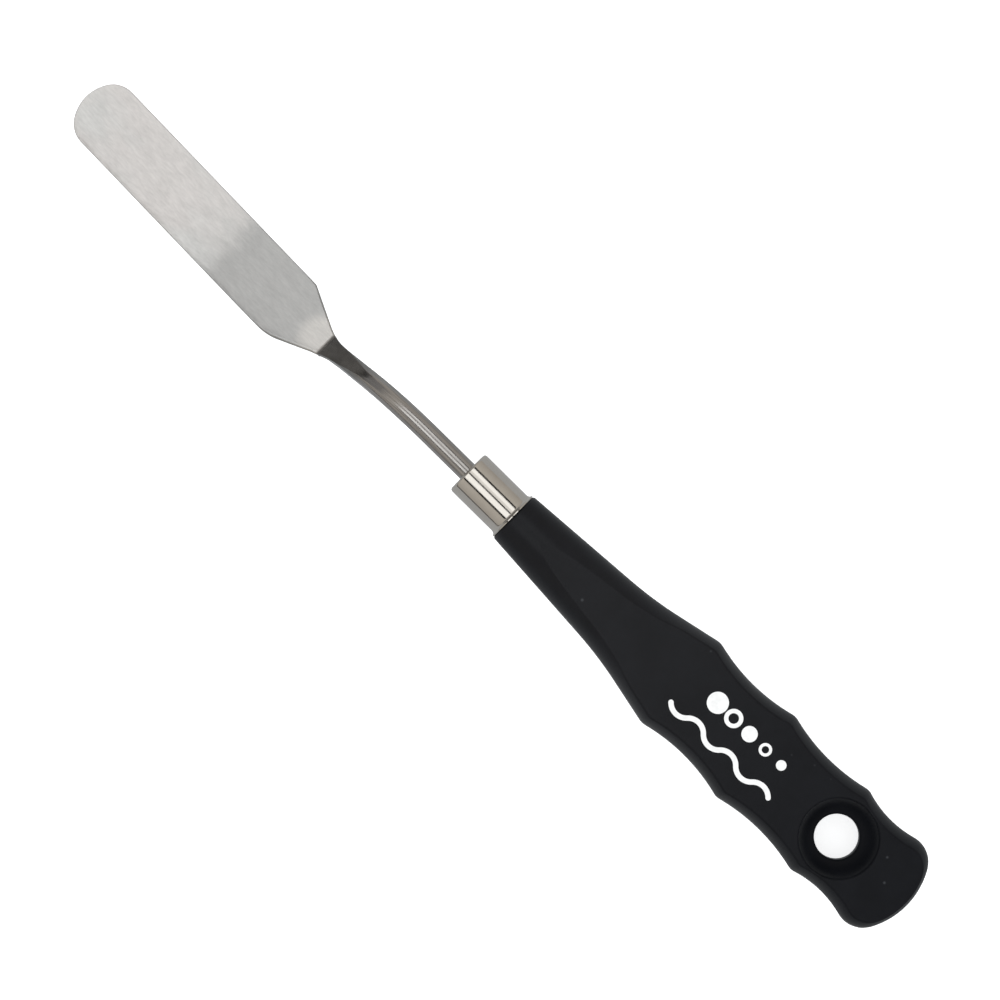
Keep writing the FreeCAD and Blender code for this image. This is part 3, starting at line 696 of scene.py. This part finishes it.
# ---------------------------------------------------------------- material helpers
class Nodes:
    """The node tree of a material or world, with short ways to add to it."""

    def __init__(self, owner):
        owner.use_nodes = True
        self.tree = owner.node_tree

    def node(self, kind, **settings):
        """A new node of that kind."""
        made = self.tree.nodes.new(kind)
        for key, value in settings.items():
            setattr(made, key, value)
        return made

    def feed(self, socket, value):
        """Links an output to a socket, or sets the socket to a plain value."""
        if isinstance(value, bpy.types.NodeSocket):
            self.tree.links.new(value, socket)
        else:
            socket.default_value = value

    def maths(self, operation, a, b):
        """The sum, product or other result of two values."""
        made = self.node("ShaderNodeMath", operation=operation)
        self.feed(made.inputs[0], a)
        self.feed(made.inputs[1], b)
        return made.outputs[0]

    def mixed(self, share, a, b):
        """A colour between a and b."""
        made = self.node("ShaderNodeMix", data_type="RGBA")
        self.feed(made.inputs["Factor"], share)
        for socket, value in ((made.inputs[6], a), (made.inputs[7], b)):
            self.feed(socket, (*value, 1) if isinstance(value, tuple) else value)
        return made.outputs[2]

    def reflecting(self):
        """1 for what reflections see, 0 for all other rays."""
        return self.node("ShaderNodeLightPath").outputs["Is Glossy Ray"]


class Finish(Nodes):
    """A material round one Principled shader. Its patterns lie in metres of the frame called place."""

    def __init__(self, name, colour, metallic, roughness, specular=0.5, place=KNIFE):
        self.material = bpy.data.materials.new(name)
        super().__init__(self.material)
        self.shader = self.tree.nodes["Principled BSDF"]
        self.colour((*colour, 1))
        self.feed(self.shader.inputs["Metallic"], metallic)
        self.roughness(roughness)
        self.shine(specular)
        local = self.node("ShaderNodeMapping", vector_type="TEXTURE")
        self.feed(local.inputs["Vector"], self.node("ShaderNodeTexCoord").outputs["Object"])
        self.feed(local.inputs["Location"], place.to_translation())
        self.feed(local.inputs["Rotation"], place.to_euler())
        self.place = local.outputs["Vector"]
        self.normal = None

    def straighten(self, start, radius, angle):
        """Lifts what lies past a downward bend, so that the patterns run along the bent piece."""
        past = self.maths("MAXIMUM", self.maths("SUBTRACT", self.along(), start), 0.0)
        bent = self.maths("MINIMUM", past, radius * math.sin(angle))
        square = self.maths("SUBTRACT", radius * radius, self.maths("MULTIPLY", bent, bent))
        drop = self.maths("SUBTRACT", radius, self.maths("POWER", square, 0.5))
        slope = self.maths("MULTIPLY", self.maths("SUBTRACT", past, bent), math.tan(angle))
        lift = self.node("ShaderNodeCombineXYZ")
        self.feed(lift.inputs["Z"], self.maths("ADD", drop, slope))
        lifted = self.node("ShaderNodeVectorMath", operation="ADD")
        self.feed(lifted.inputs[0], self.place)
        self.feed(lifted.inputs[1], lift.outputs["Vector"])
        self.place = lifted.outputs["Vector"]

    def scaled(self, per_mm, stretch=(1, 1, 1), turn=0.0):
        """The place for a pattern of that many features per millimetre, stretched and turned about Z."""
        mapping = self.node("ShaderNodeMapping")
        self.feed(mapping.inputs["Vector"], self.place)
        self.feed(mapping.inputs["Scale"], [per_mm / MM * s for s in stretch])
        self.feed(mapping.inputs["Rotation"], (0, 0, math.radians(turn)))
        return mapping.outputs["Vector"]

    def noise(self, per_mm, detail, rough=0.55, stretch=(1, 1, 1), turn=0.0):
        """Cloudy noise, 0 to 1."""
        noise = self.node("ShaderNodeTexNoise")
        self.feed(noise.inputs["Vector"], self.scaled(per_mm, stretch, turn))
        for key, number in (("Scale", 1.0), ("Detail", detail), ("Roughness", rough)):
            self.feed(noise.inputs[key], number)
        return noise.outputs["Fac"]

    def speckle(self, per_mm, low, high):
        """Scattered round specks: 1 at their middles, 0 between them."""
        cells = self.node("ShaderNodeTexVoronoi")
        self.feed(cells.inputs["Vector"], self.scaled(per_mm))
        self.feed(cells.inputs["Scale"], 1.0)
        return self.ranged(cells.outputs["Distance"], low, high, 1.0, 0.0)

    def ranged(self, value, low, high, first=0.0, last=1.0):
        """Maps low..high of a value to first..last in an S-curve, held outside."""
        made = self.node("ShaderNodeMapRange", clamp=True, interpolation_type="SMOOTHSTEP")
        self.feed(made.inputs["Value"], value)
        for key, number in (
            ("From Min", low), ("From Max", high), ("To Min", first), ("To Max", last),
        ):
            self.feed(made.inputs[key], number)
        return made.outputs["Result"]

    def over(self, value, stretch, first=0.0, last=1.0):
        """The same for a distance, over a stretch in millimetres."""
        return self.ranged(value, stretch[0] * MM, stretch[1] * MM, first, last)

    def varied(self, noise, first=0.0, last=1.0):
        """The same for a noise, over the band that most of it lies in."""
        return self.ranged(noise, 0.3, 0.7, first, last)

    def along(self):
        """Distance along the X axis of the piece's frame, in metres."""
        split = self.node("ShaderNodeSeparateXYZ")
        self.feed(split.inputs["Vector"], self.place)
        return split.outputs["X"]

    def distance(self, point):
        """Distance from a point of the piece's frame, in metres."""
        made = self.node("ShaderNodeVectorMath", operation="DISTANCE")
        self.feed(made.inputs[0], self.place)
        self.feed(made.inputs[1], point)
        return made.outputs["Value"]

    def shaded(self, colour, factor):
        """A colour made lighter or darker by a factor."""
        made = self.node("ShaderNodeVectorMath", operation="SCALE")
        self.feed(made.inputs[0], colour)
        self.feed(made.inputs["Scale"], factor)
        return made.outputs["Vector"]

    def bump(self, height, depth_mm, strength):
        """Adds relief of that depth to what is already there."""
        made = self.node("ShaderNodeBump")
        self.feed(made.inputs["Distance"], depth_mm * MM)
        self.feed(made.inputs["Strength"], strength)
        self.feed(made.inputs["Height"], height)
        if self.normal is not None:
            self.feed(made.inputs["Normal"], self.normal)
        self.normal = made.outputs["Normal"]
        self.feed(self.shader.inputs["Normal"], self.normal)

    def colour(self, value):
        """Sets the colour, from a value or an output, like the two below."""
        self.feed(self.shader.inputs["Base Color"], value)

    def shine(self, value):
        """Sets the strength of the reflections of what is not metal."""
        self.feed(self.shader.inputs["Specular IOR Level"], value)

    def roughness(self, value):
        """Sets the roughness."""
        self.feed(self.shader.inputs["Roughness"], value)

    def glow(self, strength):
        """Lets it give off white light of its own."""
        self.feed(self.shader.inputs["Emission Color"], (1, 1, 1, 1))
        self.feed(self.shader.inputs["Emission Strength"], strength)


# ---------------------------------------------------------------- materials
HEEL_PAINTED_SHADE = ((80.2, 84.8, 0.68), (82.0, 93.0, 0.32))   # (from, to, share) of the fade of the painted shade over the heel
HEEL_WANDER = 4.0                  # how far, from end to end, the mottle shifts it
CREASE_PAINTED_HIGHLIGHT = (4.2, 7.4)           # distances from the crease over which its painted highlight fades
BLADE_END_PAINTED_SHADE = (40.0, 46.0)         # stretch over which painted shade darkens the rod towards its forged end
FRONT_PAINTED_LIGHT = (-112.0, -30.0)          # stretch over which painted light turns the grip a trace warmer towards the ferrule
POLISHED = (-120.0, -15.0)         # stretch over which it turns glossier
DULL_SHINE, POLISHED_SHINE = 0.085, 0.2


def blade_finish():
    """Satin ground steel: mottle and short scratches, with painted shade over the heel and a painted
    highlight at the crease.
    """
    f = Finish("blade_steel", (0.63, 0.6, 0.57), 1.0, 0.32, place=STEEL)
    patches = f.noise(0.09, detail=2, rough=0.5, stretch=(0.6, 1, 1))
    mottle = f.noise(0.4, detail=5, rough=0.65, stretch=(0.5, 1.1, 1), turn=-14)
    scratches = f.noise(2.2, detail=4, rough=0.6, stretch=(0.16, 1, 1), turn=-12)
    neutral, warm = (0.616, 0.606, 0.592), (0.632, 0.604, 0.588)
    # painted shade for the heel, and a lighter painted highlight for the patch next to the crease
    heel_shade_colour, crease_highlight_colour = (0.437, 0.43, 0.422), (0.585, 0.563, 0.54)
    front = f.mixed(f.ranged(patches, 0.35, 0.65), neutral, warm)
    wander = f.maths("MULTIPLY", f.maths("SUBTRACT", mottle, 0.5), HEEL_WANDER * MM)
    place = f.maths("ADD", f.along(), wander)
    # painted shade over the heel, its edge shifted by the mottle
    sharp, soft = (f.over(place, (low, high), share, 0.0) for low, high, share in HEEL_PAINTED_SHADE)
    heel = f.maths("ADD", sharp, soft)
    # painted highlight round the crease, over the heel's painted shade
    crease_highlight_share = f.over(f.distance((CREASE[0] * MM, 0.0, CREASE[1] * MM)), CREASE_PAINTED_HIGHLIGHT, 1.0, 0.0)
    heel_shade_and_highlight = f.mixed(crease_highlight_share, heel_shade_colour, crease_highlight_colour)
    mottled_with_painted_light = f.shaded(f.mixed(heel, front, heel_shade_and_highlight), f.varied(mottle, 0.93, 1.07))
    f.colour(f.shaded(mottled_with_painted_light, f.ranged(scratches, 0.25, 0.75, 0.91, 1.09)))
    ground = f.varied(scratches, 0.27, 0.34)
    f.roughness(f.maths("ADD", ground, f.varied(mottle, 0, 0.05)))
    f.bump(mottle, 0.02, 0.5)
    f.bump(scratches, 0.004, 0.6)
    return f.material


def weld_finish():
    """Dressed weld metal: dark, rippled and half dull."""
    f = Finish("weld_steel", (0.3, 0.29, 0.28), 1.0, 0.4, place=STEEL)
    ripple = f.noise(4.0, detail=3, rough=0.6)
    f.colour(f.mixed(f.ranged(ripple, 0.35, 0.65), (0.2, 0.19, 0.18), (0.34, 0.33, 0.31)))
    f.roughness(f.varied(ripple, 0.32, 0.5))
    f.bump(ripple, 0.02, 0.7)
    return f.material


def shank_finish():
    """Drawn rod with lengthwise lines, darkened by painted shade towards its forged end."""
    f = Finish("shank_steel", (0.42, 0.4, 0.38), 1.0, 0.3, place=STEEL)
    f.straighten(CRANK[0] * MM, CRANK[1] * MM, CRANK[2])
    lines = f.noise(3.0, detail=4, rough=0.6, stretch=(0.02, 1, 1))
    blotch = f.noise(0.5, detail=4, rough=0.6)
    # painted shade: the rod turns darker towards the blade, where it bends down away from the lights
    end_shade_share = f.over(f.along(), BLADE_END_PAINTED_SHADE)
    bright = f.mixed(f.varied(lines), (0.34, 0.32, 0.305), (0.5, 0.475, 0.455))
    end_shade_colour = f.mixed(f.varied(blotch), (0.24, 0.232, 0.222), (0.31, 0.3, 0.288))
    f.colour(f.mixed(end_shade_share, bright, end_shade_colour))
    f.roughness(f.varied(blotch, 0.17, 0.23))
    f.bump(lines, 0.006, 0.5)
    return f.material


def nickel_finish():
    """Bright warm nickel over a drawn cup, with faint lengthwise lines."""
    f = Finish("nickel_plate", (0.66, 0.62, 0.57), 1.0, 0.1)
    lines = f.noise(2.0, detail=3, rough=0.5, stretch=(0.05, 1, 1))
    haze = f.noise(0.35, detail=3, rough=0.6)
    f.colour(f.mixed(f.varied(haze), (0.645, 0.605, 0.555), (0.675, 0.635, 0.585)))
    f.roughness(f.varied(haze, 0.09, 0.14))
    f.bump(lines, 0.0015, 0.5)
    return f.material


def grip_finish():
    """Matte soft-touch black, glossier and, as painted light, a trace warmer towards the ferrule, with a
    fine grain and a few specks.
    """
    f = Finish("soft_grip", (0.006, 0.007, 0.009), 0.0, 0.45, specular=0.13)
    grain = f.noise(7.0, detail=2, rough=0.5)
    cloud = f.noise(0.12, detail=4, rough=0.6)
    waves = f.noise(0.3, detail=2, rough=0.5)
    specks = f.speckle(0.16, 0.03, 0.07)
    # painted light: the front colour is a trace warmer than the butt's
    butt, front, dust = (0.0055, 0.006, 0.0078), (0.0057, 0.006, 0.0078), (0.035, 0.037, 0.041)
    black = f.mixed(f.over(f.along(), FRONT_PAINTED_LIGHT), butt, front)
    black = f.shaded(black, f.varied(cloud, 0.85, 1.15))
    f.colour(f.mixed(specks, black, dust))
    f.roughness(f.varied(cloud, 0.36, 0.44))
    f.shine(f.over(f.along(), POLISHED, DULL_SHINE, POLISHED_SHINE))
    f.bump(waves, 0.02, 0.35)
    f.bump(grain, 0.012, 0.6)
    return f.material


def ink_finish():
    """Pad-printed white ink, slightly uneven, lightly pitted."""
    f = Finish("white_ink", (0.86, 0.86, 0.85), 0.0, 0.45, specular=0.4)
    patch = f.noise(0.8, detail=3, rough=0.6)
    pits = f.noise(6.0, detail=2, rough=0.5)
    f.colour(f.mixed(f.varied(patch), (0.8, 0.8, 0.79), (0.88, 0.88, 0.87)))
    f.roughness(f.varied(patch, 0.4, 0.55))
    f.bump(pits, 0.01, 0.5)
    return f.material


def core_finish():
    """Plain black moulded plastic, seen only in a cut."""
    f = Finish("core_plastic", (0.05, 0.05, 0.055), 0.0, 0.5)
    grain = f.noise(3.0, detail=3)
    f.colour(f.mixed(f.varied(grain), (0.045, 0.045, 0.05), (0.06, 0.06, 0.065)))
    f.roughness(f.varied(grain, 0.45, 0.6))
    f.bump(grain, 0.02, 0.4)
    return f.material


def adhesive_finish():
    """Amber adhesive, a little uneven."""
    f = Finish("adhesive", (0.62, 0.5, 0.28), 0.0, 0.25)
    bubbles = f.noise(1.5, detail=3)
    f.colour(f.mixed(f.varied(bubbles), (0.5, 0.38, 0.2), (0.66, 0.55, 0.32)))
    f.roughness(f.varied(bubbles, 0.2, 0.35))
    f.bump(bubbles, 0.03, 0.4)
    return f.material


def dress(piece, material):
    """Gives a piece its one material."""
    piece.data.materials.clear()
    piece.data.materials.append(material)


# ---------------------------------------------------------------- stage, lights and camera
# Lights, cards and camera are placed in metres of the knife's frame.
LIGHT_HEIGHT = 1.3
LIGHT_ENDS = (-1.6, 0.95)          # where the long panels and flags begin and end
PANEL_COLOUR = (0.9, 0.95, 1.0)
PANELS = {                         # degrees off the vertical, to the side, and radiance
    "panel_right": (-32.5, -16.5, 0.89),
    "panel_right_inner": (-16.5, -5.0, 0.5),
    "panel_left": (1.8, 27.0, 0.89),
}
FLAGS = {"surround_right": (-41.5, -32.5), "gap": (-5.0, 1.8), "surround_left": (27.0, 36.0)}
FLAG_HEIGHT = LIGHT_HEIGHT - 0.01
FAR_END, FAR_HALF = 1.1, 0.7       # place and half width of the cards past the blade
FAR_FLAGS = {"far_end": (0.0, 0.23, 0.04), "far_end_top": (0.23, 0.75, 0.3)}   # from, to and glow
HORIZON, HORIZON_TOP = 2.0, 0.17   # place and half length, and height, of the card at the left
FLOOR_HALF, FLOOR_GLOW = 3.0, 0.7
FLOOR_REFLECTED = (0.44, 0.455, 0.465, 1)      # how the floor looks in reflections
ROOM = (0.92, 0.92, 0.92)
ROOM_LOW, ROOM_HIGH = (0.41, 0.39, 0.36), (0.56, 0.54, 0.5)    # how the room looks in reflections
ROOM_TOP = 0.7                     # height at which it reaches its high colour, 1 straight overhead


def sheet(name, corners):
    """A flat four-cornered object."""
    mesh = bpy.data.meshes.new(name)
    mesh.from_pydata([Vector(c) for c in corners], [], [(0, 1, 2, 3)])
    return show(name, mesh)


def sideways(degrees):
    """How far to the side of the knife a panel's edge is, from its angle off the vertical."""
    return math.tan(math.radians(degrees)) * LIGHT_HEIGHT


def panel(name, first, last, radiance):
    """A long soft light over the knife, between two angles."""
    low, high = sideways(first), sideways(last)
    light = bpy.data.lights.new(name, "AREA")
    light.shape = "RECTANGLE"
    light.size, light.size_y = LIGHT_ENDS[1] - LIGHT_ENDS[0], high - low
    light.energy = math.pi * light.size * light.size_y * radiance
    light.color = PANEL_COLOUR
    lamp = show(name, light)
    middle = (sum(LIGHT_ENDS) / 2, (low + high) / 2, LIGHT_HEIGHT)
    lamp.matrix_world = KNIFE @ Matrix.Translation(middle)
    lamp.visible_camera = False


def flag(name, corners, glow=0.0):
    """A dark or faintly glowing card that only reflections see."""
    card = sheet(name, corners)
    card.matrix_world = KNIFE
    black = Finish(name, (0.004, 0.004, 0.004), 0.0, 1.0, specular=0.0)
    black.glow(glow)
    dress(card, black.material)
    card.visible_camera = False
    card.visible_diffuse = False
    card.visible_shadow = False


def lights():
    """Long panels with a gap between them for the camera, and dark cards round about."""
    for name, (first, last, radiance) in PANELS.items():
        panel(name, first, last, radiance)
    near, far = LIGHT_ENDS
    for name, (first, last) in FLAGS.items():
        a, b, z = sideways(first), sideways(last), FLAG_HEIGHT
        flag(name, [(near, a, z), (far, a, z), (far, b, z), (near, b, z)])
    x, y = FAR_END, FAR_HALF
    for name, (low, high, glow) in FAR_FLAGS.items():
        flag(name, [(x, -y, low), (x, y, low), (x, y, high), (x, -y, high)], glow)
    x, z = HORIZON, HORIZON_TOP
    flag("horizon", [(-x, x, 0), (x, x, 0), (x, x, z), (-x, x, z)])


def room():
    """A pale room: near white to look at, warmer and dimmer in reflections, more so near the floor."""
    world = bpy.data.worlds.new("room")
    bpy.context.scene.world = world
    n = Nodes(world)
    background = n.tree.nodes["Background"]
    n.feed(background.inputs["Strength"], 1.0)
    split = n.node("ShaderNodeSeparateXYZ")
    n.feed(split.inputs["Vector"], n.node("ShaderNodeTexCoord").outputs["Generated"])
    height = n.node("ShaderNodeMapRange")
    n.feed(height.inputs["From Max"], ROOM_TOP)
    n.feed(height.inputs["Value"], split.outputs["Z"])
    reflected = n.mixed(height.outputs["Result"], ROOM_LOW, ROOM_HIGH)
    n.feed(background.inputs["Color"], n.mixed(n.reflecting(), ROOM, reflected))


def floor():
    """A plain pale floor, softly lit from below so that shadows stay faint."""
    size = FLOOR_HALF
    ground = sheet("floor", [(-size, -size, 0), (size, -size, 0), (size, size, 0), (-size, size, 0)])
    f = Finish("floor", (0.85, 0.85, 0.85), 0.0, 0.9, specular=0.1)
    f.glow(FLOOR_GLOW)
    reflected = f.node("ShaderNodeEmission")
    f.feed(reflected.inputs["Color"], FLOOR_REFLECTED)
    mix = f.node("ShaderNodeMixShader")
    f.feed(mix.inputs["Fac"], f.reflecting())
    f.feed(mix.inputs[1], f.shader.outputs["BSDF"])
    f.feed(mix.inputs[2], reflected.outputs["Emission"])
    f.feed(f.tree.nodes["Material Output"].inputs["Surface"], mix.outputs["Shader"])
    dress(ground, f.material)


CAMERA_DISTANCE = 0.8
SENSOR = 36.0                      # millimetres, like the two sizes below
PICTURE_AIM = (4.384, -0.56)       # middle of the picture
PICTURE_WIDTH = 208.33
PICTURE_TURN = math.radians(44.665)    # of the knife in the picture


def camera():
    """Looks straight down on the printed face, with the knife across the picture's diagonal."""
    cos, sin = math.cos(PICTURE_TURN), math.sin(PICTURE_TURN)
    turn = Matrix(((-cos, -sin, 0), (sin, -cos, 0), (0, 0, 1))).transposed().to_4x4()
    data = bpy.data.cameras.new("camera")
    data.sensor_width = SENSOR
    data.lens = SENSOR * CAMERA_DISTANCE / (PICTURE_WIDTH * MM)
    data.clip_start, data.clip_end = 0.01, 20
    cam = show("camera", data)
    place = Matrix.Translation((PICTURE_AIM[0] * MM, PICTURE_AIM[1] * MM, CAMERA_DISTANCE))
    cam.matrix_world = KNIFE @ place @ turn
    bpy.context.scene.camera = cam


dress(grip(), grip_finish())
dress(ferrule(), nickel_finish())
dress(shank(), shank_finish())
dress(blade(), blade_finish())
dress(weld(), weld_finish())
for node, finish, slot in (
    ("handle_core", core_finish, "core_plastic"),
    ("tang_adhesive", adhesive_finish, "adhesive"),
    ("printed_mark", ink_finish, "white_ink"),
):
    dress(frame["nodes"][node], finish())
lights()
room()
floor()
camera()
bpy.context.scene.view_settings.view_transform = "Standard"
